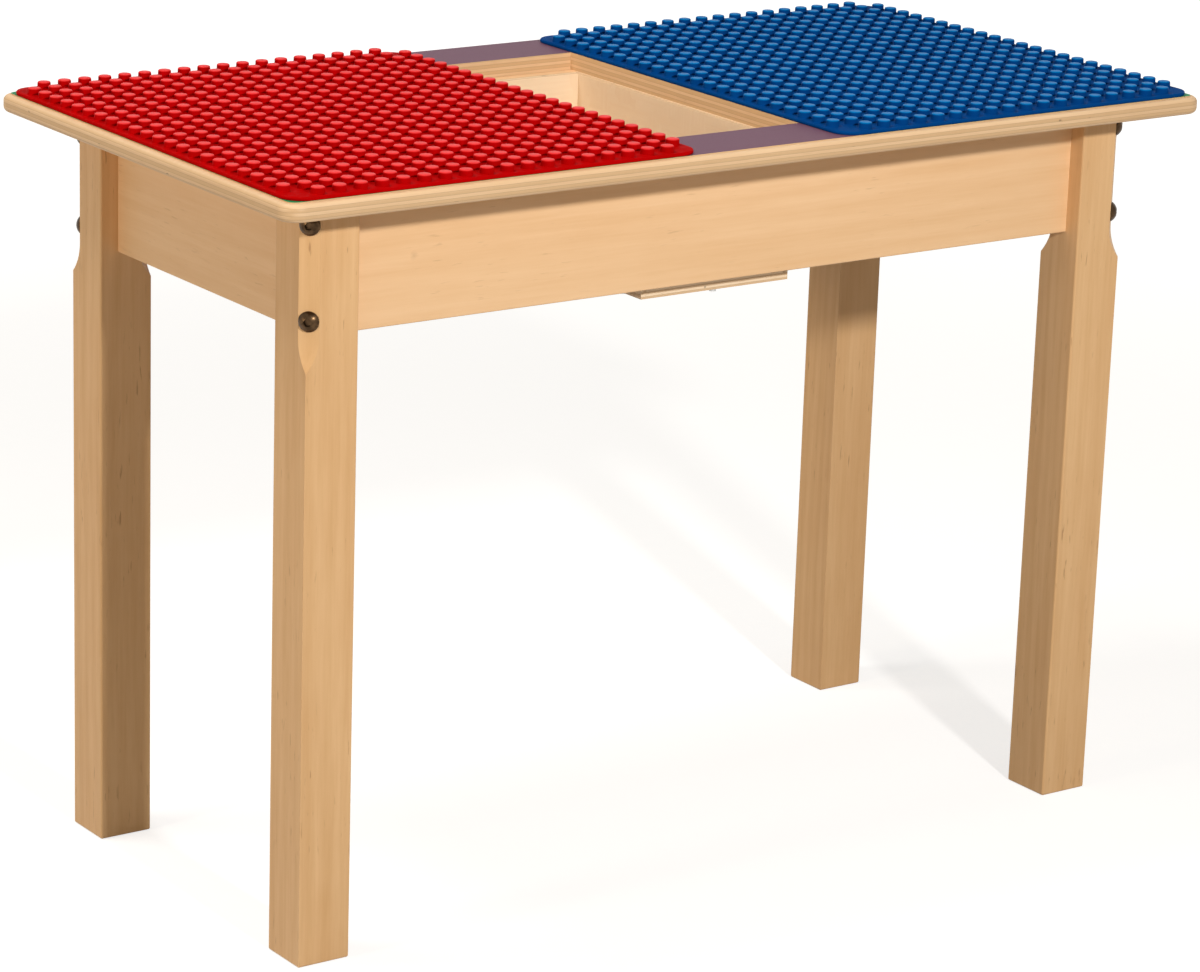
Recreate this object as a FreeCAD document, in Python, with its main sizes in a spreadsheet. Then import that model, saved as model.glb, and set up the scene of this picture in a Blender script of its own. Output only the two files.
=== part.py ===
import FreeCAD, Part
import os
import re

from FreeCAD import Placement, Rotation, Vector

# A child's play table: a plywood top on four chamfered legs, with a storage bin in the middle
# and a studded building plate on each side of it. The origin is on the floor under the middle
# of the top, X runs along the table, Y from front to back, and lengths are in millimetres.

SIZES = (
    # The top and what lies on it
    ("table_height", "538"),
    ("top_length", "772"),
    ("top_width", "396"),
    ("top_thickness", "12"),
    ("top_corner_radius", "14"),
    ("top_edge_radius", "4"),
    ("sheet_thickness", "0.8"),
    ("sheet_corner_radius", "6"),
    # The cut-out over the bin, and how far it reaches over the long aprons
    ("opening_width", "120"),
    ("opening_lap", "9"),
    # The building plates
    ("plate_inset", "6"),
    ("plate_thickness", "2.5"),
    ("plate_corner_radius", "16"),
    ("stud_pitch", "16"),
    ("stud_diameter", "9.4"),
    ("stud_height", "4.6"),
    ("count_slack_share", "0.01"),
    # The legs
    ("end_overhang", "38.5"),
    ("side_overhang", "40"),
    ("leg_side", "40"),
    ("leg_edge_radius", "1.5"),
    ("chamfer_side", "10"),
    ("chamfer_below_apron", "20"),
    ("runout_height", "22"),
    # The aprons
    ("apron_height", "91"),
    ("apron_thickness", "13"),
    ("apron_recess", "14"),
    ("apron_edge_radius", "1"),
    # The corner blocks and the cross rails
    ("block_depth", "25"),
    ("block_above_runout", "1"),
    ("rail_thickness", "20"),
    ("rail_height", "50"),
    # The bin
    ("bin_wall", "6"),
    ("bin_floor", "5"),
    ("bin_ledge", "3"),
    ("bin_drop", "10"),
    # The leg bolts with their washers and nuts
    ("bolt_diameter", "8"),
    ("bolt_above_runout", "11.5"),
    ("bolt_below_top", "13.5"),
    ("bolt_hole_clearance", "0.25"),
    ("bolt_head_diameter", "14"),
    ("bolt_head_height", "4.4"),
    ("bolt_rim_height", "0.8"),
    ("bolt_tail", "2.5"),
    ("socket_width", "5"),
    ("socket_depth", "2.6"),
    ("washer_diameter", "16"),
    ("washer_thickness", "1.6"),
    ("nut_width", "13"),
    ("nut_height", "6.5"),
    ("thread_clearance", "0.1"),
    # The wood screws in the blocks and rails
    ("screw_diameter", "4"),
    ("screw_length", "28"),
    ("screw_bite", "10"),
    ("screw_tip", "4"),
    ("screw_head_diameter", "8"),
    ("screw_head_height", "2.4"),
    ("screw_from_leg", "10"),
    ("screw_from_apron", "8"),
    ("screw_spacing", "10"),
    ("screw_stagger", "10"),
    ("screw_hole_clearance", "0.2"),
    ("rail_screw_share", "0.7"),
    # The small screws in the bin's bottom
    ("pin_diameter", "2.5"),
    ("pin_length", "16"),
    ("pin_tip", "2"),
    ("pin_head_diameter", "5"),
    ("pin_head_height", "1.6"),
    ("pin_share", "0.8"),
    # How far a cutting solid runs past the face it starts from
    ("overrun", "1"),
)

# Places and sizes that follow from the ones above
LEG_LENGTH = "(table_height - top_thickness)"
TOP_SURFACE = "(table_height + sheet_thickness)"
APRON_BOTTOM = "(table_height - top_thickness - apron_height)"
CORNER_X = "(top_length / 2 - end_overhang)"
CORNER_Y = "(top_width / 2 - side_overhang)"
APRON_INSIDE = "(apron_recess + apron_thickness)"
INNER_Y = f"({CORNER_Y} - {APRON_INSIDE})"
OPENING_LENGTH = f"(2 * ({INNER_Y} + opening_lap))"
PLATE_ROOM = "(top_length / 2 - plate_inset - opening_width / 2)"
PLATE_COLUMNS = f"floor({PLATE_ROOM} / stud_pitch + count_slack_share)"
PLATE_ROWS = "floor((top_width - 2 * plate_inset) / stud_pitch + count_slack_share)"
PLATE_LENGTH = f"({PLATE_COLUMNS} * stud_pitch)"
PLATE_WIDTH = f"({PLATE_ROWS} * stud_pitch)"
CHAMFER_DEPTH = "(chamfer_side / sqrt(2))"
LEG_DIAGONAL = "(leg_side * sqrt(2))"
INNER_FLAT = f"({LEG_DIAGONAL} - {CHAMFER_DEPTH})"
FLAT_BOTTOM = f"({APRON_BOTTOM} - chamfer_below_apron + runout_height)"
RUNOUT_RADIUS = f"((runout_height * runout_height / {CHAMFER_DEPTH} + {CHAMFER_DEPTH}) / 2)"
BOLT_HEIGHTS = (f"({FLAT_BOTTOM} + bolt_above_runout)", f"({LEG_LENGTH} - bolt_below_top)")
BLOCK_BOTTOM = f"({FLAT_BOTTOM} + block_above_runout)"
SCREW_SEAT = "(screw_length - screw_bite)"
SCREW_HEIGHT = f"({APRON_BOTTOM} + apron_height / 2)"
PILOT_RADIUS = "screw_diameter / 2 + thread_clearance"
LONG_HALF = f"({CORNER_X} - leg_side)"
SHORT_HALF = f"({CORNER_Y} - leg_side)"
APRON_FACE_X = f"({CORNER_X} - apron_recess)"
APRON_FACE_Y = f"({CORNER_Y} - apron_recess)"
BIN_INSIDE_X = "(opening_width / 2 - bin_ledge)"
BIN_SIDE_X = f"({BIN_INSIDE_X} + bin_wall / 2)"
BIN_END_Y = f"({INNER_Y} - bin_wall / 2)"
BIN_BOTTOM = f"({APRON_BOTTOM} - bin_drop)"
BIN_WALL_HEIGHT = f"({LEG_LENGTH} - {BIN_BOTTOM} - bin_floor)"
BIN_PIN_ROW = (f"-pin_share * {INNER_Y}", "0", f"pin_share * {INNER_Y}")
RAIL_X = f"({BIN_INSIDE_X} + bin_wall + rail_thickness / 2)"
RAIL_SCREW_Y = f"(rail_screw_share * {INNER_Y})"

# A corner block's screws, by their distances from the leg's outer edge along the two aprons
BLOCK_SCREW_ALONG = "(leg_side + screw_from_leg)"
TOP_SCREW_U = f"({APRON_INSIDE} + screw_from_apron)"
TOP_SCREW_V = f"({BLOCK_SCREW_ALONG} + screw_spacing)"

# Where the screws enter the top: one in each corner block, two in each cross rail
TOP_SCREWS = (
    (f"{TOP_SCREW_U} - {CORNER_X}", f"{TOP_SCREW_V} - {CORNER_Y}"),
    (f"{CORNER_X} - {TOP_SCREW_V}", f"{TOP_SCREW_U} - {CORNER_Y}"),
    (f"{CORNER_X} - {TOP_SCREW_U}", f"{CORNER_Y} - {TOP_SCREW_V}"),
    (f"{TOP_SCREW_V} - {CORNER_X}", f"{CORNER_Y} - {TOP_SCREW_U}"),
    (f"-{RAIL_X}", f"-{RAIL_SCREW_Y}"),
    (f"-{RAIL_X}", RAIL_SCREW_Y),
    (RAIL_X, f"-{RAIL_SCREW_Y}"),
    (RAIL_X, RAIL_SCREW_Y),
)

# The most that an upright edge may lean, as a share of its height
LEAN_SHARE = 0.001

# Rotations, by where they send a solid's own Z axis
UPRIGHT = Rotation()
DOWNWARD = Rotation(Vector(1, 0, 0), 180)
ALONG_X = Rotation(Vector(0, 1, 0), 90)
INWARD = Rotation(Vector(1, 0, 0), -90)
OUTWARD = Rotation(Vector(1, 0, 0), 90)

# Each corner of the table: its name, its side along X and Y, and the turn about Z that points
# a corner piece's own Y axis from the leg's outer edge to the middle of the table
CORNERS = (
    ("front_left", -1, -1, -45),
    ("front_right", 1, -1, 45),
    ("back_right", 1, 1, 135),
    ("back_left", -1, 1, -135),
)

doc = FreeCAD.newDocument("play_table")
sheet = doc.addObject("Spreadsheet::Sheet", "sizes")
for row, (alias, text) in enumerate(SIZES, start=1):
    sheet.set(f"A{row}", alias)
    sheet.set(f"B{row}", text)
    sheet.setAlias(f"B{row}", alias)
doc.recompute()

ALIASES = {alias for alias, text in SIZES}


def linked(expression):
    """The same expression, with each size read from the sheet."""
    def source(word):
        return f"sizes.{word[0]}" if word[0] in ALIASES else word[0]

    return re.sub(r"[a-z_]+", source, expression)


def bind(item, **expressions):
    for name, expression in expressions.items():
        item.setExpression(name, linked(expression))
    return item


def place(item, x="0", y="0", z="0", rotation=UPRIGHT):
    item.Placement = Placement(Vector(), rotation)
    for axis, expression in zip("xyz", (x, y, z)):
        item.setExpression(f"Placement.Base.{axis}", linked(expression))
    return item


def new_body(label):
    return doc.addObject("PartDesign::Body", label)


def box(body, kind, length, width, height, x="0", y="0", z="0", rotation=UPRIGHT):
    item = body.newObject(f"PartDesign::{kind}Box", "box")
    bind(item, Length=length, Width=width, Height=height)
    return place(item, x, y, z, rotation)


def cylinder(body, kind, radius, height, x="0", y="0", z="0", rotation=UPRIGHT):
    item = body.newObject(f"PartDesign::{kind}Cylinder", "cylinder")
    bind(item, Radius=radius, Height=height)
    return place(item, x, y, z, rotation)


def prism(body, kind, width, height, z="0"):
    item = body.newObject(f"PartDesign::{kind}Prism", "prism")
    item.Polygon = 6
    return place(bind(item, Circumradius=f"{width} / sqrt(3)", Height=height), z=z)


def round_edges(body, radius, wanted):
    """Fillet the edges of the body that the test accepts."""
    doc.recompute()
    base = body.Tip
    names = [f"Edge{number}" for number, edge in enumerate(base.Shape.Edges, start=1) if wanted(edge)]
    fillet = body.newObject("PartDesign::Fillet", "fillet")
    fillet.Base = (base, names)
    return bind(fillet, Radius=radius)


def is_upright(edge):
    bounds = edge.BoundBox
    return max(bounds.XLength, bounds.YLength) < LEAN_SHARE * bounds.ZLength


def table_top():
    body = new_body("table_top")
    box(body, "Additive", "top_length", "top_width", "top_thickness",
        "-top_length / 2", "-top_width / 2")
    round_edges(body, "top_corner_radius", is_upright)
    round_edges(body, "top_edge_radius", lambda edge: not is_upright(edge))
    cut_opening(body, "top_thickness")
    for x, y in TOP_SCREWS:
        cylinder(body, "Subtractive", PILOT_RADIUS, "screw_bite", x, y)
    return place(body, z=LEG_LENGTH)


def cut_opening(body, thickness):
    box(body, "Subtractive", "opening_width", OPENING_LENGTH, f"{thickness} + 2 * overrun",
        "-opening_width / 2", f"-{OPENING_LENGTH} / 2", "-overrun")


def printed_sheet():
    body = new_body("printed_top_sheet")
    length = f"(2 * {PLATE_LENGTH} + opening_width)"
    box(body, "Additive", length, PLATE_WIDTH, "sheet_thickness",
        f"-{length} / 2", f"-{PLATE_WIDTH} / 2")
    round_edges(body, "sheet_corner_radius", is_upright)
    cut_opening(body, "sheet_thickness")
    return place(body, z="table_height")


def building_plate(label, left):
    """A sheet with a square grid of studs on it, and none at its four rounded corners."""
    body = new_body(label)
    box(body, "Additive", PLATE_LENGTH, PLATE_WIDTH, "plate_thickness")
    round_edges(body, "plate_corner_radius", is_upright)
    stud_grid(body, 0, 1, "2", f"{PLATE_ROWS} - 2", f"({PLATE_LENGTH} - stud_pitch)")
    stud_grid(body, 1, 0, f"{PLATE_COLUMNS} - 2", PLATE_ROWS, "stud_pitch")
    return place(body, left, f"-{PLATE_WIDTH} / 2", TOP_SURFACE)


def stud_grid(body, column, row, columns, rows, step):
    """Studs in columns that lie a step apart and rows a pitch apart, from the given first stud."""
    stud = cylinder(body, "Additive", "stud_diameter / 2", "plate_thickness + stud_height",
                    f"({column} + 1 / 2) * stud_pitch", f"({row} + 1 / 2) * stud_pitch")
    grid = body.newObject("PartDesign::MultiTransform", "studs")
    grid.Originals = [stud]
    grid.Transformations = [
        pattern(body, "X_Axis", columns, step),
        pattern(body, "Y_Axis", rows, "stud_pitch"),
    ]
    grid.Refine = False
    body.Tip = grid


def pattern(body, axis, count, step):
    item = body.newObject("PartDesign::LinearPattern", "pattern")
    line = next(datum for datum in body.Origin.OriginFeatures if datum.Role == axis)
    item.Direction = (line, [""])
    return bind(item, Occurrences=count, Length=f"({count} - 1) * {step}")


def leg(corner):
    """A square timber with a flat on its outer and inner edge that runs out in a curve below."""
    body = new_body(f"{corner}_leg")
    box(body, "Additive", "leg_side", "leg_side", LEG_LENGTH, rotation=Rotation(Vector(0, 0, 1), 45))
    round_edges(body, "leg_edge_radius", is_leg_edge)
    for start, runout in ((f"{CHAMFER_DEPTH} - leg_side", f"{CHAMFER_DEPTH} - {RUNOUT_RADIUS}"),
                          (INNER_FLAT, f"{INNER_FLAT} + {RUNOUT_RADIUS}")):
        box(body, "Subtractive", "leg_side", "leg_side", f"{LEG_LENGTH} - {FLAT_BOTTOM} + overrun",
            "-leg_side / 2", start, FLAT_BOTTOM)
        cylinder(body, "Subtractive", RUNOUT_RADIUS, "leg_side",
                 "-leg_side / 2", runout, FLAT_BOTTOM, ALONG_X)
    return body, bolt_holes(body, CHAMFER_DEPTH, f"{INNER_FLAT} - {CHAMFER_DEPTH}")


def is_leg_edge(edge):
    """The leg's two side edges and the edges of its foot."""
    is_side = is_upright(edge) and abs(edge.CenterOfMass.x) > sheet.leg_side / 2
    return is_side or edge.BoundBox.ZMax < sheet.leg_edge_radius


def bolt_holes(body, start, depth):
    radius = "bolt_diameter / 2 + bolt_hole_clearance"
    return [cylinder(body, "Subtractive", radius, depth, y=start, z=height, rotation=INWARD)
            for height in BOLT_HEIGHTS]


def corner_block(corner):
    """A block across the corner, seated on the leg's inner flat and on both aprons.

    A screw goes into each apron, and the two pass each other at different heights.
    """
    body = new_body(f"{corner}_corner_block")
    wedge = body.newObject("PartDesign::AdditiveWedge", "wedge")
    front = f"({INNER_FLAT} - sqrt(2) * {APRON_INSIDE})"
    back = f"({front} + block_depth)"
    bind(wedge, Ymin=INNER_FLAT, Ymax=f"{INNER_FLAT} + block_depth")
    bind(wedge, Xmin=f"-{front}", Xmax=front, X2min=f"-{back}", X2max=back)
    bind(wedge, Zmin=BLOCK_BOTTOM, Z2min=BLOCK_BOTTOM, Zmax=LEG_LENGTH, Z2max=LEG_LENGTH)
    along = BLOCK_SCREW_ALONG
    seat = f"({APRON_INSIDE} + {SCREW_SEAT})"
    apron_screws = [
        screw_hole(body, f"{side} * ({along} - {seat}) / sqrt(2)", f"({along} + {seat}) / sqrt(2)",
                   f"{side} * screw_stagger / 2 + {SCREW_HEIGHT}",
                   Rotation(Vector(0, 0, 1), Vector(side, -1, 0)))
        for side in (1, -1)]
    top_screw = screw_hole(body, f"({TOP_SCREW_U} - {TOP_SCREW_V}) / sqrt(2)",
                           f"({TOP_SCREW_U} + {TOP_SCREW_V}) / sqrt(2)",
                           f"{LEG_LENGTH} - {SCREW_SEAT}", UPRIGHT)
    return body, bolt_holes(body, INNER_FLAT, "block_depth"), apron_screws, top_screw


def screw_hole(body, x, y, z, rotation):
    """A wood screw's hole from the seat of its head, and the bore that its head went in by."""
    cylinder(body, "Subtractive", "screw_head_diameter / 2 + screw_hole_clearance", "apron_height",
             x, y, z, rotation.multiply(DOWNWARD))
    return cylinder(body, "Subtractive", "screw_diameter / 2 + screw_hole_clearance", SCREW_SEAT,
                    x, y, z, rotation)


def at_corner(body, side_x, side_y, turn):
    return place(body, f"{side_x} * {CORNER_X}", f"{side_y} * {CORNER_Y}",
                 rotation=Rotation(Vector(0, 0, 1), turn))


def apron(label, half_length, x, y, turn):
    """A board with its outer face on its own XZ plane and a screw's pilot hole near each end."""
    body = new_body(label)
    length = f"(2 * {half_length})"
    box(body, "Additive", length, "apron_thickness", "apron_height")
    round_edges(body, "apron_edge_radius", is_lower_edge)
    for side, along in ((1, "screw_from_leg"), (-1, f"{length} - screw_from_leg")):
        cylinder(body, "Subtractive", PILOT_RADIUS, "screw_bite",
                 along, "apron_thickness", f"{side} * screw_stagger / 2 + apron_height / 2", OUTWARD)
    return place(body, x, y, APRON_BOTTOM, Rotation(Vector(0, 0, 1), turn))


def is_lower_edge(edge):
    """The apron's two long lower edges."""
    bounds = edge.BoundBox
    return bounds.ZMax < sheet.apron_edge_radius and bounds.XLength > bounds.YLength


def cross_rail(label, side):
    body = new_body(label)
    box(body, "Additive", "rail_thickness", f"2 * {INNER_Y}", "rail_height",
        "-rail_thickness / 2", f"-{INNER_Y}")
    holes = [screw_hole(body, "0", f"{end} * {RAIL_SCREW_Y}", f"rail_height - {SCREW_SEAT}", UPRIGHT)
             for end in (-1, 1)]
    return place(body, f"{side} * {RAIL_X}", z=f"{LEG_LENGTH} - rail_height"), holes


def bin_side(label, side):
    body = new_body(label)
    box(body, "Additive", "bin_wall", f"2 * {INNER_Y}", BIN_WALL_HEIGHT,
        "-bin_wall / 2", f"-{INNER_Y}")
    for y in BIN_PIN_ROW:
        pin_pilot(body, "0", y)
    return place(body, f"{side} * {BIN_SIDE_X}", z=f"{BIN_BOTTOM} + bin_floor")


def bin_end(label, side):
    body = new_body(label)
    box(body, "Additive", f"2 * {BIN_INSIDE_X}", "bin_wall", BIN_WALL_HEIGHT,
        f"-{BIN_INSIDE_X}", "-bin_wall / 2")
    pin_pilot(body, "0", "0")
    return place(body, y=f"{side} * {BIN_END_Y}", z=f"{BIN_BOTTOM} + bin_floor")


def pin_pilot(body, x, y):
    cylinder(body, "Subtractive", "pin_diameter / 2 + thread_clearance", "pin_length - bin_floor", x, y)


def bin_bottom():
    body = new_body("bin_bottom")
    width = f"({BIN_SIDE_X} + bin_wall / 2)"
    box(body, "Additive", f"2 * {width}", f"2 * {INNER_Y}", "bin_floor", f"-{width}", f"-{INNER_Y}")
    places = [(f"{side} * {BIN_SIDE_X}", y) for side in (-1, 1) for y in BIN_PIN_ROW]
    places += [("0", f"{side} * {BIN_END_Y}") for side in (-1, 1)]
    holes = [cylinder(body, "Subtractive", "pin_diameter / 2 + screw_hole_clearance", "bin_floor", x, y)
             for x, y in places]
    return place(body, z=BIN_BOTTOM), holes


def leg_bolt():
    """A button-head bolt with its seat at the origin and its shank along Z."""
    body = new_body("leg_bolt")
    shank = f"{INNER_FLAT} - {CHAMFER_DEPTH} + block_depth + washer_thickness + nut_height + bolt_tail"
    cylinder(body, "Additive", "bolt_diameter / 2", shank)
    cylinder(body, "Additive", "bolt_head_diameter / 2", "bolt_rim_height", z="-bolt_rim_height")
    dome = "(bolt_head_height - bolt_rim_height)"
    radius = f"((bolt_head_diameter * bolt_head_diameter / 4 / {dome} + {dome}) / 2)"
    cap = body.newObject("PartDesign::AdditiveSphere", "cap")
    bind(cap, Radius=radius, Angle1="-90", Angle2=f"asin({dome} / {radius} - 1)")
    place(cap, z=f"{radius} - bolt_head_height")
    prism(body, "Subtractive", "socket_width", "socket_depth", "-bolt_head_height")
    return body


def washer():
    body = new_body("washer")
    cylinder(body, "Additive", "washer_diameter / 2", "washer_thickness")
    cylinder(body, "Subtractive", "bolt_diameter / 2 + bolt_hole_clearance", "washer_thickness")
    return body


def nut():
    body = new_body("nut")
    prism(body, "Additive", "nut_width", "nut_height")
    cylinder(body, "Subtractive", "bolt_diameter / 2 + thread_clearance", "nut_height")
    return body


def wood_screw(name):
    """A screw with the seat of its head at the origin and its point along Z, in the named sizes."""
    body = new_body(name)
    straight = f"({name}_length - {name}_tip)"
    cylinder(body, "Additive", f"{name}_diameter / 2", straight)
    cylinder(body, "Additive", f"{name}_head_diameter / 2", f"{name}_head_height",
             z=f"-{name}_head_height")
    point = body.newObject("PartDesign::AdditiveCone", "point")
    place(bind(point, Radius1=f"{name}_diameter / 2", Radius2="0", Height=f"{name}_tip"), z=straight)
    return body


def group(label, piece, places):
    """One node that holds a copy of the piece at each place."""
    item = doc.addObject("Part::Feature", label)
    copies = [piece.Shape.copy() for spot in places]
    for copy, spot in zip(copies, places):
        copy.Placement = spot
    item.Shape = Part.makeCompound(copies)
    return item


def spots(body, holes, past=0):
    """Where each of the body's holes starts on the table, or a distance past that along the hole."""
    step = Placement(Vector(0, 0, past), Rotation())
    return [body.Placement.multiply(hole.Placement).multiply(step) for hole in holes]


# The wooden parts and the plates
parts = [
    table_top(),
    printed_sheet(),
    building_plate("red_building_plate", f"-{PLATE_LENGTH} - opening_width / 2"),
    building_plate("blue_building_plate", "opening_width / 2"),
    apron("front_apron", LONG_HALF, f"-{LONG_HALF}", f"-{APRON_FACE_Y}", 0),
    apron("right_apron", SHORT_HALF, APRON_FACE_X, f"-{SHORT_HALF}", 90),
    apron("back_apron", LONG_HALF, LONG_HALF, APRON_FACE_Y, 180),
    apron("left_apron", SHORT_HALF, f"-{APRON_FACE_X}", SHORT_HALF, -90),
    bin_side("bin_left_wall", -1),
    bin_side("bin_right_wall", 1),
    bin_end("bin_front_wall", -1),
    bin_end("bin_back_wall", 1),
]
floor_panel, pin_holes = bin_bottom()
rails = [cross_rail("left_cross_rail", -1), cross_rail("right_cross_rail", 1)]
legs = []
blocks = []
for corner, side_x, side_y, turn in CORNERS:
    legs.append(leg(corner))
    blocks.append(corner_block(corner))
    at_corner(legs[-1][0], side_x, side_y, turn)
    at_corner(blocks[-1][0], side_x, side_y, turn)
bolt_piece = leg_bolt()
washer_piece = washer()
nut_piece = nut()
screw_piece = wood_screw("screw")
pin_piece = wood_screw("pin")
doc.recompute()

# Where the fasteners go, each at the hole that it passes through
bolt_spots = []
washer_spots = []
nut_spots = []
apron_screw_spots = []
top_screw_spots = []
for leg_body, leg_holes in legs:
    parts.append(leg_body)
    bolt_spots += spots(leg_body, leg_holes)
for block, block_holes, apron_screws, top_screw in blocks:
    parts.append(block)
    washer_spots += spots(block, block_holes, sheet.block_depth)
    nut_spots += spots(block, block_holes, sheet.block_depth + sheet.washer_thickness)
    apron_screw_spots += spots(block, apron_screws)
    top_screw_spots += spots(block, [top_screw])
for rail, rail_holes in rails:
    parts.append(rail)
    top_screw_spots += spots(rail, rail_holes)
parts.append(floor_panel)

# The fasteners
parts += [
    group("leg_bolts", bolt_piece, bolt_spots),
    group("leg_bolt_washers", washer_piece, washer_spots),
    group("leg_bolt_nuts", nut_piece, nut_spots),
    group("corner_block_screws", screw_piece, apron_screw_spots),
    group("top_screws", screw_piece, top_screw_spots),
    group("bin_bottom_screws", pin_piece, spots(floor_panel, pin_holes)),
]
doc.recompute()

for item in doc.Objects:
    if "Invalid" in item.State or "Error" in item.State:
        raise RuntimeError(f"{item.Label} failed: {item.State}")
for part in parts:
    if part.Shape.isNull() or not part.Shape.isValid():
        raise RuntimeError(f"{part.Label} has no sound shape")

os.makedirs("parts", exist_ok=True)
for part in parts:
    part.Shape.exportStep(f"parts/{part.Label}.step")
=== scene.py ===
import math

import bmesh
import bpy
import numpy as np
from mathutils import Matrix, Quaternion, Vector


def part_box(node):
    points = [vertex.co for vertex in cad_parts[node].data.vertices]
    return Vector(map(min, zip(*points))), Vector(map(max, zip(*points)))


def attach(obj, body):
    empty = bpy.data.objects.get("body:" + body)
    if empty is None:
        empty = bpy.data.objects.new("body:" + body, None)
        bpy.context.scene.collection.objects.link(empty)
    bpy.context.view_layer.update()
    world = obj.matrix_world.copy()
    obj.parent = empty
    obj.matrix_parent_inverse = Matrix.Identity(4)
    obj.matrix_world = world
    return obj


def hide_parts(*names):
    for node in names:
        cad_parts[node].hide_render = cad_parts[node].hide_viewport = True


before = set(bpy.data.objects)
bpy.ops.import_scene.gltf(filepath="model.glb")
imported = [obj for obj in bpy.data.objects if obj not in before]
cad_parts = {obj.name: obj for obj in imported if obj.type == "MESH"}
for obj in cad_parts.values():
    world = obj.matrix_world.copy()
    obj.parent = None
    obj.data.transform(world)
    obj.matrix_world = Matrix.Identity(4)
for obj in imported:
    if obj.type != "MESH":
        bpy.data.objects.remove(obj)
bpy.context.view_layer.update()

# A child's play table on a white studio floor: pale maple legs and aprons, a birch plywood top and
# bin, and a red and a blue building plate. Lengths are in metres, and the scale of a noise counts
# its cells in a metre.

MM = 0.001
AXES = "xyz"

# The photograph's camera, solved from the table's own edges and then moved a little, so that the
# whole table shows
IMAGE_WIDTH = 1200
FOCAL_PIXELS = 4390.0
SENSOR_WIDTH = 36.0
CAMERA_PLACE = Vector((-1.7728, -2.5063, 1.1642))
CAMERA_TARGET = Vector((-0.0002, -0.0008, 0.2480))
CAMERA_ROLL = math.radians(1.864)

# The building plates, as moulded
STUD_PITCH = 16 * MM
STUD_RADIUS = 4.7 * MM
STUD_HEIGHT = 4.6 * MM
STUD_DRAFT = 0.08 * MM
STUD_TOP_ROUNDING = 1.0 * MM
STUD_FOOT_ROUNDING = 0.35 * MM
PLATE_THICKNESS = 2.5 * MM
PLATE_EDGE_ROUNDING = 0.8 * MM

# The plates' meshes
STUD_SIDES = 24
STUD_TOP_RING = 0.6
ROUNDING_STEPS = 3
CORNER_STEPS = 8
ROUND_PROFILE = 0.5
WELD_DISTANCE = 0.01 * MM
SHARP_ANGLE = math.radians(40)


# Node helpers

# The sockets of a Mix node that take the factor and two colours, and the one that gives a colour
MIX_INPUTS = (0, 6, 7)
MIX_OUTPUT = 2

# How much of a normal lies along an axis where a surface starts to face that way, and where it does
FACING_EDGE = (0.35, 0.9)


def new_material(name):
    """A new material, its node tree and its shader."""
    material = bpy.data.materials.new(name)
    material.use_nodes = True
    tree = material.node_tree
    return material, tree, tree.nodes["Principled BSDF"]


def feed(tree, socket, value):
    """Join a socket to another one, or set its constant value."""
    if isinstance(value, bpy.types.NodeSocket):
        tree.links.new(value, socket)
    else:
        socket.default_value = value


def add(tree, kind, inputs=(), **settings):
    """A new node with its settings and its inputs, which are given as (name or number, value) pairs."""
    node = tree.nodes.new(kind)
    for name, value in settings.items():
        setattr(node, name, value)
    for key, value in inputs:
        feed(tree, node.inputs[key], value)
    return node


def math_node(tree, operation, first, second=0.0, third=0.0):
    inputs = ((0, first), (1, second), (2, third))
    return add(tree, "ShaderNodeMath", inputs, operation=operation).outputs[0]


def product(tree, first, second):
    return math_node(tree, "MULTIPLY", first, second)


def mix_colour(tree, factor, first, second):
    """The first colour where the factor is 0, and the second where it is 1."""
    inputs = zip(MIX_INPUTS, (factor, first, second))
    return add(tree, "ShaderNodeMix", inputs, data_type="RGBA").outputs[MIX_OUTPUT]


def ramp(tree, factor, places, first, second):
    """The first colour up to the first of two places, and the second colour from the other place on."""
    node = add(tree, "ShaderNodeValToRGB", ((0, factor),))
    for element, place, colour in zip(node.color_ramp.elements, places, (first, second)):
        element.position = place
        element.color = colour
    return node.outputs[0]


def grey(level):
    return (level, level, level, 1.0)


def step(tree, value, start, end):
    """0 up to start, 1 from end on, and smooth between them; start may lie above end."""
    inputs = ((0, value), (1, start), (2, end))
    return add(tree, "ShaderNodeMapRange", inputs, interpolation_type="SMOOTHSTEP").outputs[0]


def span(tree, value, low, high):
    """A value from 0 to 1, drawn over the range from low to high."""
    inputs = ((0, value), (3, low), (4, high))
    return add(tree, "ShaderNodeMapRange", inputs).outputs[0]


def noise(tree, place, scale, detail, roughness=0.5, distortion=0.0):
    inputs = (("Vector", place), ("Scale", scale), ("Detail", detail), ("Roughness", roughness),
              ("Distortion", distortion))
    return add(tree, "ShaderNodeTexNoise", inputs).outputs["Fac"]


def mapped(tree, place, scale=(1, 1, 1), offset=(0, 0, 0), turn=(0, 0, 0)):
    inputs = (("Vector", place), ("Location", offset), ("Rotation", turn), ("Scale", scale))
    return add(tree, "ShaderNodeMapping", inputs).outputs[0]


def stretched(tree, place, share, offset=(0, 0, 0)):
    """The place for a noise that is drawn out along X, where its scale is only a share of the rest."""
    return mapped(tree, place, scale=(share, 1.0, 1.0), offset=offset)


def split(tree, vector):
    """The X, Y and Z of a vector."""
    return tuple(add(tree, "ShaderNodeSeparateXYZ", ((0, vector),)).outputs)


def bump(tree, height, strength, distance):
    inputs = (("Height", height), ("Strength", strength), ("Distance", distance))
    return add(tree, "ShaderNodeBump", inputs).outputs[0]


def weighted(tree, *terms):
    """The sum of some values, each times its weight."""
    total = 0.0
    for value, weight in terms:
        total = math_node(tree, "MULTIPLY_ADD", value, weight, total)
    return total


def object_place(tree):
    return add(tree, "ShaderNodeTexCoord").outputs["Object"]


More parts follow.
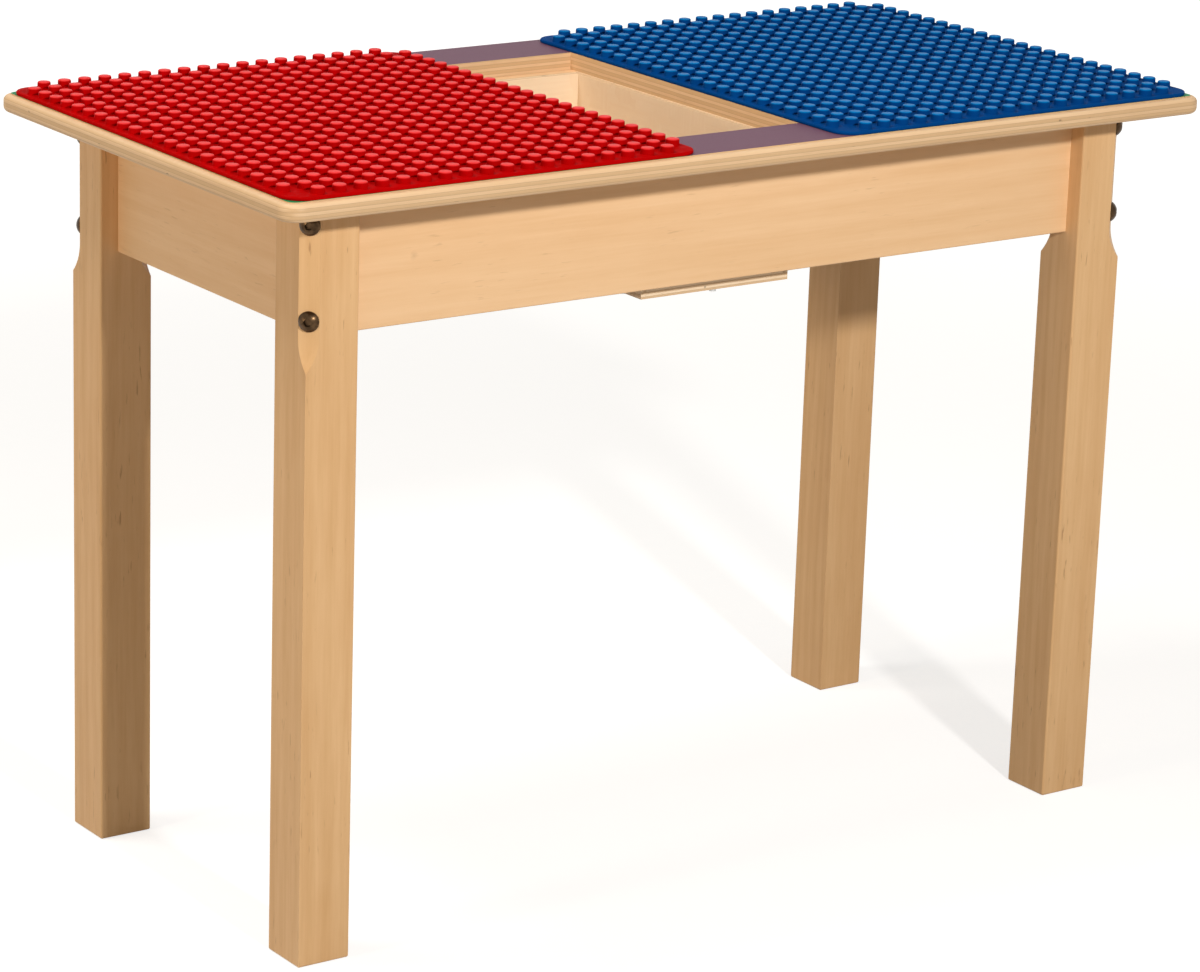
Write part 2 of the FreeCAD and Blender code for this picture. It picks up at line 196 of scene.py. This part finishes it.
def facing(tree, axis):
    """How squarely a surface faces along one axis, either way: 0 to 1."""
    normal = add(tree, "ShaderNodeTexCoord").outputs["Normal"]
    along = split(tree, normal)[AXES.index(axis)]
    return step(tree, math_node(tree, "ABSOLUTE", along), *FACING_EDGE)


# Wood

LEG_LIGHT = (0.780, 0.505, 0.262, 1.0)
LEG_DARK = (0.645, 0.374, 0.166, 1.0)
APRON_LIGHT = (0.880, 0.600, 0.355, 1.0)
APRON_DARK = (0.780, 0.490, 0.255, 1.0)
TOP_LIGHT = (0.770, 0.545, 0.335, 1.0)
TOP_DARK = (0.670, 0.440, 0.245, 1.0)
BIN_LIGHT = (0.930, 0.760, 0.560, 1.0)
BIN_DARK = (0.870, 0.670, 0.460, 1.0)
FLECK_BROWN = (0.300, 0.135, 0.050, 1.0)
END_GRAIN = (0.600, 0.390, 0.205, 1.0)
GLUE_LINE = (0.300, 0.170, 0.080, 1.0)
VOID_BROWN = (0.100, 0.055, 0.028, 1.0)

# The scale of the grain along a board, as a share of its scale across
GRAIN_STRETCH = 0.045
TURNS_TO_X = {
    "x": (0.0, 0.0, 0.0),
    "y": (0.0, 0.0, -math.pi / 2),
    "z": (0.0, math.pi / 2, 0.0),
}

# How far apart in the log two boards are cut
LOG_SHIFT = (0.37, 0.21, 0.13)

# Where in a wood's figure the light tone ends and the dark one begins
WOOD_TONES = (0.36, 0.72)
WOOD_RELIEF = (0.10, 0.12 * MM)
WOOD_IOR = 1.40

# Growth rings
RING_SPACING = 9 * MM
RING_TILT = math.radians(2.5)
PITH_PLACE = (0.03, 0.055)
RING_WANDER = {"scale": 1.0, "detail": 2.0}
RING_WANDER_CELLS = (2.2, 9.0, 9.0)
RING_WANDER_REACH = 0.03

# Maple: its noises, how far some are drawn out along the grain, and what each adds to the figure
MAPLE_FIBRES = {"scale": 420.0, "detail": 4.0, "roughness": 0.6}
MAPLE_STREAKS = {"scale": 95.0, "detail": 3.0, "roughness": 0.55, "distortion": 0.4}
MAPLE_DRIFT = {"scale": 9.0, "detail": 2.0}
MAPLE_MOTTLE = {"scale": 55.0, "detail": 3.0, "roughness": 0.6}
DRIFT_STRETCH = 0.35
MOTTLE_STRETCH = 0.5
RING_WEIGHT = 0.07
STREAK_WEIGHT = 0.34
DRIFT_WEIGHT = 0.28
MOTTLE_WEIGHT = 0.13
FIBRE_WEIGHT = 0.26
MAPLE_ROUGHNESS = (0.38, 0.56)

# Brown flecks, which show only in patches
FLECKS = {"scale": 480.0, "detail": 2.0}
FLECK_STRETCH = 0.12
FLECK_SHIFT = (1.7, 0.4, 2.2)
FLECK_EDGE = (0.64, 0.76)
FLECK_PATCHES = {"scale": 14.0, "detail": 1.0}
PATCH_EDGE = (0.43, 0.60)
LEG_FLECK_SHARE = 0.55
APRON_FLECK_SHARE = 0.20

# A pin knot in the front apron, by its distances from the apron's left end and lower edge
KNOT_FROM_END = 50.5 * MM
KNOT_ABOVE_EDGE = 46 * MM
KNOT_RADIUS = 4 * MM
KNOT_BLUR = {"scale": 220.0, "detail": 2.0}
KNOT_OUTSIDE = 1.5
KNOT_INSIDE = 0.5
KNOT_SHARE = 0.22

# Plywood: its plies' waver, and the lines, glue and voids that show on cut edges
TOP_PLIES = 5
BIN_PLIES = 3
PLY_WAVER = {"scale": 35.0, "detail": 2.0}
PLY_WAVER_REACH = 0.18
END_GRAIN_SHARE = 0.72
EDGE_LINES = {"scale": 1500.0, "detail": 3.0}
EDGE_LINE_STRETCH = 0.04
EDGE_LINE_EDGE = (0.50, 0.75)
EDGE_LINE_SHARE = 0.45
FACE_PLY_EDGE = (0.4, 0.6)
GLUE_EDGE = (0.43, 0.49)
GLUE_SHARE = 0.65
VOIDS = {"scale": 66.0, "detail": 2.0}
VOID_FLATNESS = 3.0
VOID_EDGE = (0.68, 0.75)
VOID_SHARE = 0.8
PLY_FIBRES = {"scale": 380.0, "detail": 4.0}
PLY_ROUGHNESS = (0.40, 0.60)

# A peeled birch layer
VENEER_FIBRES = {"scale": 330.0, "detail": 4.0, "roughness": 0.6}
VENEER_FIGURE = {"scale": 24.0, "detail": 3.0, "roughness": 0.55, "distortion": 1.2}
VENEER_FIGURE_STRETCH = 0.16
VENEER_DRIFT = {"scale": 6.0, "detail": 1.0}
VENEER_FIBRE_WEIGHT = 0.40
VENEER_FIGURE_WEIGHT = 0.40
VENEER_DRIFT_WEIGHT = 0.25


def grain_place(tree, axis, seed):
    """The place in the wood, turned so that the grain runs along X, with its own cut of the log."""
    turned = mapped(tree, object_place(tree), turn=TURNS_TO_X[axis])
    return mapped(tree, turned, offset=[shift * seed for shift in LOG_SHIFT])


def ring_figure(tree, place):
    """Growth rings about a pith line that lies a little askew to the board: 0 to 1 across each ring."""
    askew = mapped(tree, place, turn=(0.0, RING_TILT, RING_TILT / 2), offset=(0.0, *PITH_PLACE))
    wander = noise(tree, mapped(tree, place, scale=RING_WANDER_CELLS), **RING_WANDER)
    squares = [product(tree, part, part) for part in split(tree, askew)[1:]]
    distance = math_node(tree, "SQRT", math_node(tree, "ADD", *squares))
    bent = math_node(tree, "MULTIPLY_ADD", wander, RING_WANDER_REACH, distance)
    wave = math_node(tree, "SINE", product(tree, bent, 2 * math.pi / RING_SPACING))
    return math_node(tree, "MULTIPLY_ADD", wave, 0.5, 0.5)


def wood_finish(tree, shader, colour, fibres, roughness):
    """Give the shader its colour, with a roughness and a fine relief that follow the fibres."""
    feed(tree, shader.inputs["Base Color"], colour)
    feed(tree, shader.inputs["Roughness"], span(tree, fibres, *roughness))
    feed(tree, shader.inputs["Normal"], bump(tree, fibres, *WOOD_RELIEF))
    shader.inputs["IOR"].default_value = WOOD_IOR


def maple(name, axis, seed, light, dark, fleck_share, knots=()):
    """Solid maple with its grain along one axis: rings, fibres, slow drifts of tone and a few flecks."""
    material, tree, shader = new_material(name)
    place = grain_place(tree, axis, seed)
    along = stretched(tree, place, GRAIN_STRETCH)
    rings = ring_figure(tree, place)
    fibres = noise(tree, along, **MAPLE_FIBRES)
    streaks = noise(tree, along, **MAPLE_STREAKS)
    drift = noise(tree, stretched(tree, place, DRIFT_STRETCH), **MAPLE_DRIFT)
    mottle = noise(tree, stretched(tree, place, MOTTLE_STRETCH), **MAPLE_MOTTLE)
    figure = weighted(tree, (rings, RING_WEIGHT), (streaks, STREAK_WEIGHT), (drift, DRIFT_WEIGHT),
                      (mottle, MOTTLE_WEIGHT), (fibres, FIBRE_WEIGHT))
    colour = ramp(tree, figure, WOOD_TONES, light, dark)

    flecks = noise(tree, stretched(tree, place, FLECK_STRETCH, FLECK_SHIFT), **FLECKS)
    patches = noise(tree, place, **FLECK_PATCHES)
    shown = product(tree, step(tree, flecks, *FLECK_EDGE), step(tree, patches, *PATCH_EDGE))
    colour = mix_colour(tree, product(tree, shown, fleck_share), colour, FLECK_BROWN)
    for knot in knots:
        colour = with_knot(tree, colour, knot)
    wood_finish(tree, shader, colour, fibres, MAPLE_ROUGHNESS)
    return material


def with_knot(tree, colour, knot):
    """The colour with a small soft-edged pin knot in it."""
    place = object_place(tree)
    away = add(tree, "ShaderNodeVectorMath", ((0, place), (1, knot)), operation="DISTANCE")
    blur = noise(tree, place, **KNOT_BLUR)
    reach = math_node(tree, "MULTIPLY_ADD", blur, KNOT_RADIUS, away.outputs["Value"])
    shown = step(tree, reach, KNOT_OUTSIDE * KNOT_RADIUS, KNOT_INSIDE * KNOT_RADIUS)
    return mix_colour(tree, product(tree, shown, KNOT_SHARE), colour, FLECK_BROWN)


def ply_depth(tree, place, node, axis, plies):
    """How far through a panel a place lies, counted in plies, with a slight waver."""
    lowest, highest = [corner[AXES.index(axis)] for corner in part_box(node)]
    here = split(tree, place)[AXES.index(axis)]
    depth = product(tree, math_node(tree, "SUBTRACT", here, lowest), plies / (highest - lowest))
    waver = noise(tree, place, **PLY_WAVER)
    return math_node(tree, "ADD", depth, span(tree, waver, -PLY_WAVER_REACH / 2, PLY_WAVER_REACH / 2))


def plywood(name, node, thickness_axis, grain_axis, plies, seed, light, dark):
    """Birch plywood: crossed layers with glue lines between them, which show wherever an edge is cut."""
    material, tree, shader = new_material(name)
    place = object_place(tree)
    depth = ply_depth(tree, place, node, thickness_axis, plies)
    crossed = math_node(tree, "PINGPONG", math_node(tree, "FLOOR", depth), 1.0)
    cut = math_node(tree, "SUBTRACT", 1.0, facing(tree, thickness_axis))

    cross_axis = next(axis for axis in AXES if axis not in (thickness_axis, grain_axis))
    veneers = []
    for turn, axis in enumerate((grain_axis, cross_axis)):
        veneer = birch_veneer(tree, axis, seed + turn, light, dark)
        shown = product(tree, facing(tree, axis), END_GRAIN_SHARE)
        veneers.append(mix_colour(tree, shown, veneer, END_GRAIN))
    colour = mix_colour(tree, crossed, *veneers)

    line_scale = [1.0 if axis == thickness_axis else EDGE_LINE_STRETCH for axis in AXES]
    lines = noise(tree, mapped(tree, place, scale=line_scale), **EDGE_LINES)
    lines = product(tree, step(tree, lines, *EDGE_LINE_EDGE), cut)
    colour = mix_colour(tree, product(tree, lines, EDGE_LINE_SHARE), colour, END_GRAIN)

    from_middle = math_node(tree, "SUBTRACT", math_node(tree, "FRACT", depth), 0.5)
    near_joint = step(tree, math_node(tree, "ABSOLUTE", from_middle), *GLUE_EDGE)
    start, end = FACE_PLY_EDGE
    inside = product(tree, step(tree, depth, start, end), step(tree, depth, plies - start, plies - end))
    glue = product(tree, near_joint, inside)
    colour = mix_colour(tree, product(tree, glue, GLUE_SHARE), colour, GLUE_LINE)

    void_scale = [VOID_FLATNESS if axis == thickness_axis else 1.0 for axis in AXES]
    voids = noise(tree, mapped(tree, place, scale=void_scale), **VOIDS)
    voids = product(tree, product(tree, step(tree, voids, *VOID_EDGE), crossed), cut)
    colour = mix_colour(tree, product(tree, voids, VOID_SHARE), colour, VOID_BROWN)

    along = stretched(tree, grain_place(tree, grain_axis, seed), GRAIN_STRETCH)
    wood_finish(tree, shader, colour, noise(tree, along, **PLY_FIBRES), PLY_ROUGHNESS)
    return material


def birch_veneer(tree, axis, seed, light, dark):
    """The colour of a peeled birch layer with its grain along one axis."""
    place = grain_place(tree, axis, seed)
    fibres = noise(tree, stretched(tree, place, GRAIN_STRETCH), **VENEER_FIBRES)
    figure = noise(tree, stretched(tree, place, VENEER_FIGURE_STRETCH), **VENEER_FIGURE)
    drift = noise(tree, place, **VENEER_DRIFT)
    tone = weighted(tree, (fibres, VENEER_FIBRE_WEIGHT), (figure, VENEER_FIGURE_WEIGHT),
                    (drift, VENEER_DRIFT_WEIGHT))
    return ramp(tree, tone, WOOD_TONES, light, dark)


# Plastic

RED = (0.460, 0.001, 0.002, 1.0)
RED_SHADE = (0.390, 0.001, 0.001, 1.0)
# The paler colours of the stud tops are painted highlights, standing in for the light that falls on the
# tops
RED_TOP_HIGHLIGHT = (0.900, 0.058, 0.060, 1.0)
RED_SHEEN = (1.000, 0.150, 0.150, 1.0)
BLUE = (0.001, 0.055, 0.235, 1.0)
BLUE_SHADE = (0.001, 0.044, 0.195, 1.0)
BLUE_TOP_HIGHLIGHT = (0.001, 0.205, 0.565, 1.0)
BLUE_SHEEN = (0.100, 0.400, 1.000, 1.0)
PLATE_TONES = {
    "red": (RED, RED_SHADE, RED_TOP_HIGHLIGHT, RED_SHEEN),
    "blue": (BLUE, BLUE_SHADE, BLUE_TOP_HIGHLIGHT, BLUE_SHEEN),
}

# How rough a plate is on its sheet and on the tops of its studs
SHEET_ROUGHNESS = 0.62
STUD_ROUGHNESS = 0.32
PLASTIC_DRIFT = {"scale": 26.0, "detail": 3.0}
PLASTIC_DRIFT_TONES = (0.32, 0.70)
PLASTIC_SKIN = {"scale": 190.0, "detail": 2.0}
# How much of the painted highlight on the stud tops shows, drawn from the skin noise
SKIN_HIGHLIGHT_SHARE = (0.55, 1.00)
SKIN_ROUGHNESS = (0.8, 1.2)
PLASTIC_RIPPLE = {"scale": 45.0, "detail": 2.0}
PLASTIC_RELIEF = (0.10, 0.6 * MM)
PLASTIC_IOR = 1.42
PLASTIC_SPECULAR = 0.025


def moulded_plastic(name, node, colour, shade, top_highlight, sheen):
    """Moulded plastic with a slight drift of tone and an uneven skin, glossier on stud tops, which carry a
    painted highlight.
    """
    material, tree, shader = new_material(name)
    place = object_place(tree)
    drift = noise(tree, place, **PLASTIC_DRIFT)
    skin = noise(tree, place, **PLASTIC_SKIN)
    ripple = noise(tree, place, **PLASTIC_RIPPLE)
    stud_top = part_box(node)[1].z
    height = split(tree, place)[2]

    # A painted highlight on the stud tops, made patchy by the skin noise
    on_top = step(tree, height, stud_top - STUD_TOP_ROUNDING, stud_top)
    painted_highlight = product(tree, on_top, span(tree, skin, *SKIN_HIGHLIGHT_SHARE))
    tone = ramp(tree, drift, PLASTIC_DRIFT_TONES, colour, shade)
    feed(tree, shader.inputs["Base Color"], mix_colour(tree, painted_highlight, tone, top_highlight))

    up_stud = step(tree, height, stud_top - STUD_HEIGHT, stud_top)
    roughness = span(tree, up_stud, SHEET_ROUGHNESS, STUD_ROUGHNESS)
    feed(tree, shader.inputs["Roughness"], product(tree, roughness, span(tree, skin, *SKIN_ROUGHNESS)))
    feed(tree, shader.inputs["Normal"], bump(tree, ripple, *PLASTIC_RELIEF))
    shader.inputs["IOR"].default_value = PLASTIC_IOR
    shader.inputs["Specular IOR Level"].default_value = PLASTIC_SPECULAR
    shader.inputs["Specular Tint"].default_value = sheen
    return material


# The printed sheet

MAUVE = (0.148, 0.064, 0.102, 1.0)
MAUVE_SHADE = (0.127, 0.054, 0.087, 1.0)
GREEN = (0.010, 0.240, 0.085, 1.0)
GREEN_SHADE = (0.006, 0.190, 0.065, 1.0)
PAPER_CORE = (0.640, 0.450, 0.260, 1.0)
PRINT_DOTS = {"scale": 1500.0, "detail": 1.0}
PRINT_TONES = (0.35, 0.65)
PRINT_ROUGHNESS = (0.45, 0.60)
PRINT_SPECULAR = 0.15


def printed_laminate(name, mauve_reach):
    """A thin printed sheet with a bare cut edge.

    It is mauve up to the given distance from the middle, and green beyond it.
    """
    material, tree, shader = new_material(name)
    place = object_place(tree)
    across = math_node(tree, "ABSOLUTE", split(tree, place)[0])
    beyond = math_node(tree, "GREATER_THAN", across, mauve_reach)
    dots = noise(tree, place, **PRINT_DOTS)
    mauve = ramp(tree, dots, PRINT_TONES, MAUVE, MAUVE_SHADE)
    green = ramp(tree, dots, PRINT_TONES, GREEN, GREEN_SHADE)
    printed = mix_colour(tree, beyond, mauve, green)
    feed(tree, shader.inputs["Base Color"], mix_colour(tree, facing(tree, "z"), PAPER_CORE, printed))
    feed(tree, shader.inputs["Roughness"], span(tree, dots, *PRINT_ROUGHNESS))
    shader.inputs["Specular IOR Level"].default_value = PRINT_SPECULAR
    return material


# Metal

BRONZE_LIGHT = (0.095, 0.055, 0.028, 1.0)
BRONZE_DARK = (0.036, 0.021, 0.011, 1.0)
BRONZE_ROUGHNESS = (0.22, 0.38)
ZINC_LIGHT = (0.62, 0.62, 0.60, 1.0)
ZINC_DARK = (0.48, 0.48, 0.47, 1.0)
ZINC_ROUGHNESS = (0.28, 0.45)
STEEL_CLOUD = {"scale": 320.0, "detail": 3.0}
STEEL_TONES = (0.35, 0.70)


def plated_steel(name, light, dark, roughness):
    """Plated steel with a faint cloudy wear."""
    material, tree, shader = new_material(name)
    cloud = noise(tree, object_place(tree), **STEEL_CLOUD)
    feed(tree, shader.inputs["Base Color"], ramp(tree, cloud, STEEL_TONES, light, dark))
    feed(tree, shader.inputs["Roughness"], span(tree, cloud, *roughness))
    shader.inputs["Metallic"].default_value = 1.0
    return material


# The building plates

def stud_profile():
    """Radius and height of a stud's rings, from its rounded foot to the flat of its rounded top."""
    quarter = [math.pi / 2 * number / ROUNDING_STEPS for number in range(ROUNDING_STEPS + 1)]
    foot = [(STUD_RADIUS + STUD_FOOT_ROUNDING * (1 - math.sin(angle)),
             STUD_FOOT_ROUNDING * (1 - math.cos(angle))) for angle in quarter]
    top_radius = STUD_RADIUS - STUD_DRAFT - STUD_TOP_ROUNDING
    top = [(top_radius + STUD_TOP_ROUNDING * math.cos(angle),
            STUD_HEIGHT - STUD_TOP_ROUNDING * (1 - math.sin(angle))) for angle in quarter]
    return foot + top + [(top_radius * STUD_TOP_RING, STUD_HEIGHT)]


def stud_cell():
    """The points and faces of one square of the plate's top, with its stud."""
    angles = [math.pi / 4 + 2 * math.pi * number / STUD_SIDES for number in range(STUD_SIDES)]
    reach = [STUD_PITCH / 2 / max(abs(math.cos(angle)), abs(math.sin(angle))) for angle in angles]
    points = [(size * math.cos(angle), size * math.sin(angle), 0.0) for size, angle in zip(reach, angles)]
    profile = stud_profile()
    for radius, height in profile:
        points += [(radius * math.cos(angle), radius * math.sin(angle), height) for angle in angles]
    points.append((0.0, 0.0, STUD_HEIGHT))
    faces = []
    for ring in range(len(profile)):
        start = ring * STUD_SIDES
        for side in range(STUD_SIDES):
            following = (side + 1) % STUD_SIDES
            faces.append((start + side, start + following,
                          start + STUD_SIDES + following, start + STUD_SIDES + side))
    rim = len(profile) * STUD_SIDES
    middle = len(points) - 1
    faces += [(rim + side, rim + (side + 1) % STUD_SIDES, middle) for side in range(STUD_SIDES)]
    return np.array(points), faces


def corner_cell(side_x, side_y):
    """The points of a rounded corner square, which has no stud: its two inner edges and the plate's arc."""
    half = STUD_PITCH / 2
    steps = STUD_SIDES // 4
    edge = [half * math.tan(math.pi / 4 * (2 * number / steps - 1)) for number in range(steps + 1)]
    inner_x = -side_x * half
    inner_y = -side_y * half
    points = [(inner_x, side_y * along, 0.0) for along in reversed(edge)]
    points += [(side_x * along, inner_y, 0.0) for along in edge[1:]]
    for number in range(1, CORNER_STEPS):
        angle = math.pi / 2 * number / CORNER_STEPS
        points.append((inner_x + side_x * STUD_PITCH * math.cos(angle),
                       inner_y + side_y * STUD_PITCH * math.sin(angle), 0.0))
    if side_x * side_y < 0:
        points.reverse()
    return np.array(points)


def plate_top(columns, rows):
    """The studded top of a plate as one sheet: its points and faces."""
    cell_points, cell_faces = stud_cell()
    points = []
    faces = []
    count = 0
    for column in range(columns):
        for row in range(rows):
            centre = np.array(((column + 0.5) * STUD_PITCH, (row + 0.5) * STUD_PITCH, 0.0))
            at_corner = column in (0, columns - 1) and row in (0, rows - 1)
            if at_corner:
                cell = corner_cell(-1 if column == 0 else 1, -1 if row == 0 else 1)
                faces.append(tuple(range(count, count + len(cell))))
            else:
                cell = cell_points
                faces += [tuple(count + number for number in face) for face in cell_faces]
            points.append(cell + centre)
            count += len(cell)
    return np.concatenate(points), faces


def building_plate(node, material, body):
    """A moulded plate: a studded sheet with rounded edges, in the place of its CAD node."""
    lowest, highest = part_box(node)
    columns = round((highest.x - lowest.x) / STUD_PITCH)
    rows = round((highest.y - lowest.y) / STUD_PITCH)
    points, faces = plate_top(columns, rows)
    points += np.array((lowest.x, lowest.y, lowest.z + PLATE_THICKNESS))
    mesh = bpy.data.meshes.new(f"moulded_{node}")
    mesh.from_pydata(points.tolist(), [], faces)

    shape = bmesh.new()
    shape.from_mesh(mesh)
    bmesh.ops.remove_doubles(shape, verts=shape.verts, dist=WELD_DISTANCE)
    rim = [edge for edge in shape.edges if edge.is_boundary]
    walls = bmesh.ops.extrude_edge_only(shape, edges=rim)["geom"]
    lower = [item for item in walls if isinstance(item, bmesh.types.BMVert)]
    for vertex in lower:
        vertex.co.z = lowest.z
    lower_rim = [edge for edge in shape.edges if edge.is_boundary]
    bmesh.ops.contextual_create(shape, geom=lower_rim)
    bmesh.ops.recalc_face_normals(shape, faces=shape.faces)
    bmesh.ops.bevel(shape, geom=rim + lower_rim, offset=PLATE_EDGE_ROUNDING, segments=ROUNDING_STEPS,
                    profile=ROUND_PROFILE, affect="EDGES")
    shape.to_mesh(mesh)
    shape.free()
    mesh.polygons.foreach_set("use_smooth", [True] * len(mesh.polygons))
    mesh.set_sharp_from_angle(angle=SHARP_ANGLE)
    mesh.materials.append(material)

    piece = bpy.data.objects.new(f"moulded_{node}", mesh)
    bpy.context.scene.collection.objects.link(piece)
    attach(piece, body)
    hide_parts(node)


# Dressing the CAD nodes

APRON_GRAINS = {"front_apron": "x", "back_apron": "x", "left_apron": "y", "right_apron": "y"}
RAIL_GRAINS = {"left_cross_rail": "y", "right_cross_rail": "y"}

# The axis across each panel of the bin, and the axis of its outer grain
BIN_PANELS = {
    "bin_left_wall": ("x", "z"), "bin_right_wall": ("x", "z"),
    "bin_front_wall": ("y", "z"), "bin_back_wall": ("y", "z"), "bin_bottom": ("z", "y"),
}
ZINC_NODES = ("leg_bolt_washers", "leg_bolt_nuts", "corner_block_screws", "top_screws", "bin_bottom_screws")

# The first seed of each kind of board
LEG_SEED = 1
APRON_SEED = 20
TOP_SEED = 1
BIN_SEED = 2


def dress(node, material):
    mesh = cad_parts[node].data
    mesh.materials.clear()
    mesh.materials.append(material)


def dress_wood():
    upright = {node: "z" for node in sorted(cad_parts) if node.endswith(("_leg", "_corner_block"))}
    for seed, (node, axis) in enumerate({**upright, **RAIL_GRAINS}.items(), start=LEG_SEED):
        dress(node, maple(f"maple_{node}", axis, seed, LEG_LIGHT, LEG_DARK, LEG_FLECK_SHARE))

    apron_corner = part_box("front_apron")[0]
    knot = apron_corner + Vector((KNOT_FROM_END, 0.0, KNOT_ABOVE_EDGE))
    for seed, (node, axis) in enumerate(APRON_GRAINS.items(), start=APRON_SEED):
        knots = (knot,) if node == "front_apron" else ()
        dress(node, maple(f"maple_{node}", axis, seed, APRON_LIGHT, APRON_DARK, APRON_FLECK_SHARE, knots))

    dress("table_top", plywood("birch_table_top", "table_top", "z", "x", TOP_PLIES, TOP_SEED,
                               TOP_LIGHT, TOP_DARK))
    for seed, (node, (thickness_axis, grain_axis)) in enumerate(sorted(BIN_PANELS.items()), start=BIN_SEED):
        dress(node, plywood(f"birch_{node}", node, thickness_axis, grain_axis, BIN_PLIES, seed,
                            BIN_LIGHT, BIN_DARK))


def dress_metal():
    dress("leg_bolts", plated_steel("bronze_plated_steel", BRONZE_LIGHT, BRONZE_DARK, BRONZE_ROUGHNESS))
    zinc = plated_steel("zinc_plated_steel", ZINC_LIGHT, ZINC_DARK, ZINC_ROUGHNESS)
    for node in ZINC_NODES:
        dress(node, zinc)


def dress_top():
    mauve_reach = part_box("blue_building_plate")[0].x + STUD_PITCH
    dress("printed_top_sheet", printed_laminate("printed_sheet", mauve_reach))
    for hue, tones in PLATE_TONES.items():
        node = f"{hue}_building_plate"
        plastic = moulded_plastic(f"{hue}_gloss", node, *tones)
        building_plate(node, plastic, f"{hue}_plate")


# The studio

FLOOR_SIZE = 30.0
FLOOR_DROP = 0.2 * MM
FLOOR_WHITE = 0.47
FLOOR_GREY = 0.98 * FLOOR_WHITE
FLOOR_GRAIN = {"scale": 60.0, "detail": 2.0}
FLOOR_GRAIN_TONES = (0.3, 0.7)
WORLD_LEVEL = 0.23
WORLD_TINT = (1.0, 0.86, 0.66, 1.0)
LIGHT_TARGET = Vector((0.0, 0.0, 0.35))

# How much white the floor adds to itself near the table, and the distances over which that rises to 1
FLOOR_LIFT = 0.73
FLOOR_LIFT_REACH = (1.0, 3.0)

# Each lamp's place, width, power and colour
LAMPS = {
    "key_light": ((-0.33, -2.24, 1.49), 0.16, 41.0, (1.0, 0.98, 0.95)),
    "left_fill": ((-2.50, -0.16, 0.85), 0.35, 14.0, (1.0, 0.88, 0.70)),
    "top_light": ((-0.95, 0.45, 2.50), 0.80, 27.0, (1.0, 0.97, 0.92)),
}


def seen_directly(tree):
    """1 where the camera, a reflection or a clear material looks at the surface, and 0 for other light."""
    path = add(tree, "ShaderNodeLightPath")
    both = math_node(tree, "MAXIMUM", path.outputs["Is Camera Ray"], path.outputs["Is Glossy Ray"])
    return math_node(tree, "MAXIMUM", both, path.outputs["Is Transmission Ray"])


def white_floor():
    mesh = bpy.data.meshes.new("studio_floor")
    half = FLOOR_SIZE / 2
    corners = [(-half, -half), (half, -half), (half, half), (-half, half)]
    mesh.from_pydata([(x, y, -FLOOR_DROP) for x, y in corners], [], [(0, 1, 2, 3)])
    floor = bpy.data.objects.new("studio_floor", mesh)
    bpy.context.scene.collection.objects.link(floor)

    material, tree, shader = new_material("white_floor")
    place = object_place(tree)
    grain = noise(tree, place, **FLOOR_GRAIN)
    tone = ramp(tree, grain, FLOOR_GRAIN_TONES, grey(FLOOR_WHITE), grey(FLOOR_GREY))
    feed(tree, shader.inputs["Base Color"], tone)
    shader.inputs["Roughness"].default_value = 1.0
    shader.inputs["Specular IOR Level"].default_value = 0.0
    shader.inputs["Emission Color"].default_value = grey(1.0)
    away = add(tree, "ShaderNodeVectorMath", ((0, place),), operation="LENGTH").outputs["Value"]
    lift = span(tree, step(tree, away, *FLOOR_LIFT_REACH), FLOOR_LIFT, 1.0)
    feed(tree, shader.inputs["Emission Strength"], product(tree, seen_directly(tree), lift))
    mesh.materials.append(material)


def white_world():
    world = bpy.data.worlds.new("studio")
    bpy.context.scene.world = world
    world.use_nodes = True
    tree = world.node_tree
    background = tree.nodes["Background"]
    seen = seen_directly(tree)
    feed(tree, background.inputs["Color"], mix_colour(tree, seen, WORLD_TINT, grey(1.0)))
    feed(tree, background.inputs["Strength"], span(tree, seen, WORLD_LEVEL, 1.0))


def softbox(name, place, size, power, colour):
    data = bpy.data.lights.new(name, "AREA")
    data.shape = "DISK"
    data.size = size
    data.energy = power
    data.color = colour
    lamp = bpy.data.objects.new(name, data)
    bpy.context.scene.collection.objects.link(lamp)
    lamp.location = place
    aim = LIGHT_TARGET - Vector(place)
    lamp.rotation_euler = aim.to_track_quat("-Z", "Y").to_euler()


def photo_camera():
    data = bpy.data.cameras.new("photo_camera")
    data.sensor_width = SENSOR_WIDTH
    data.lens = FOCAL_PIXELS * SENSOR_WIDTH / IMAGE_WIDTH
    camera = bpy.data.objects.new("photo_camera", data)
    bpy.context.scene.collection.objects.link(camera)
    camera.location = CAMERA_PLACE
    level = (CAMERA_TARGET - CAMERA_PLACE).to_track_quat("-Z", "Y")
    camera.rotation_euler = (level @ Quaternion((0.0, 0.0, 1.0), CAMERA_ROLL)).to_euler()
    bpy.context.scene.camera = camera


dress_wood()
dress_metal()
dress_top()
white_floor()
white_world()
for lamp_name, lamp_settings in LAMPS.items():
    softbox(lamp_name, *lamp_settings)
photo_camera()
bpy.context.scene.view_settings.view_transform = "Standard"
